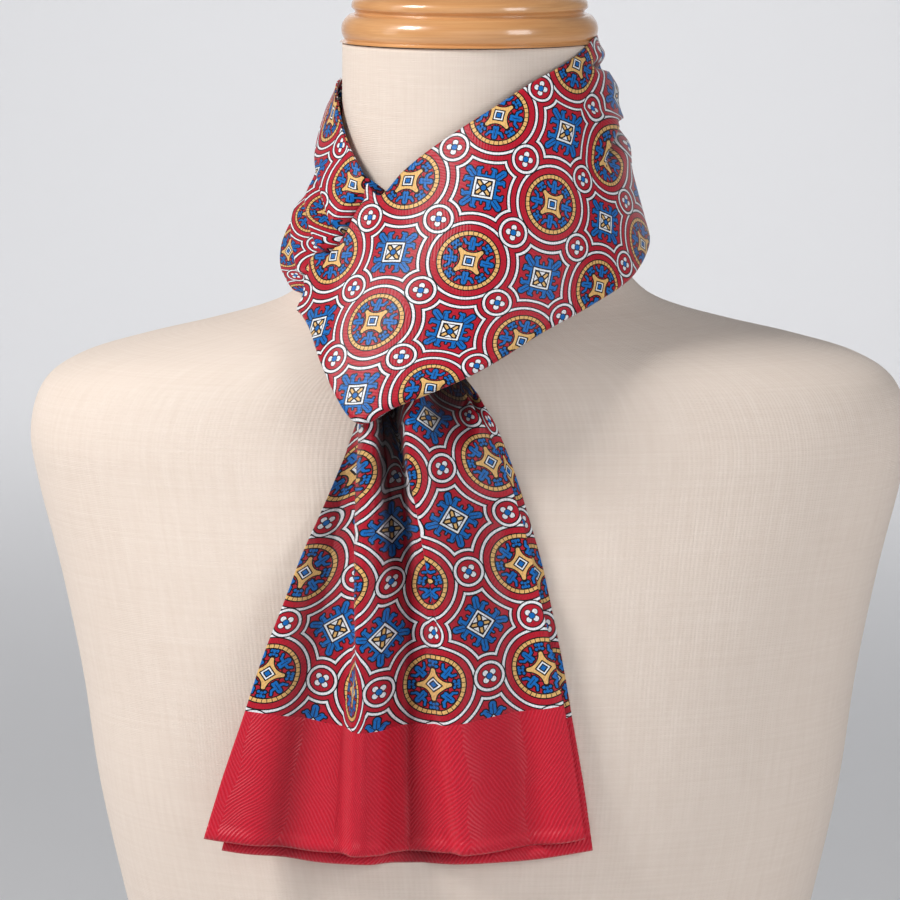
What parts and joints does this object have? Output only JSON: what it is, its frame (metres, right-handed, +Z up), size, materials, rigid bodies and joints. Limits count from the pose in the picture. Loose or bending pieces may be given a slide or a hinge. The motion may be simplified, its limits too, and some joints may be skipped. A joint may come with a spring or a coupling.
{
  "type": "ascot scarf on a dress form",
  "caption": "Silk scarf wound round the neck of a limbless linen dress form, its crossed front folded at the lower edge, with two pleated tails hanging down the chest.",
  "frame": {"origin": "centre of the stand's underside, below the middle of the neck", "axes": "-Y out of the chest, towards the viewer; +X to the wearer's left; +Z up along the neck"},
  "size_m": [0.42, 0.32, 0.8003],
  "materials": {
    "printed_silk": "medallion print on silk, plain red ends, soft sheen",
    "linen_cover": "natural plain-weave linen, matte",
    "lacquered_wood": "turned, clear gloss lacquer"
  },
  "bodies": {
    "root": {"crossed_front": "printed_silk", "nape_stretch": "printed_silk", "front_tail": "printed_silk", "back_tail": "printed_silk", "form_body": "linen_cover", "neck_cap": "lacquered_wood", "form_stand": "lacquered_wood"}
  },
  "joints": []
}
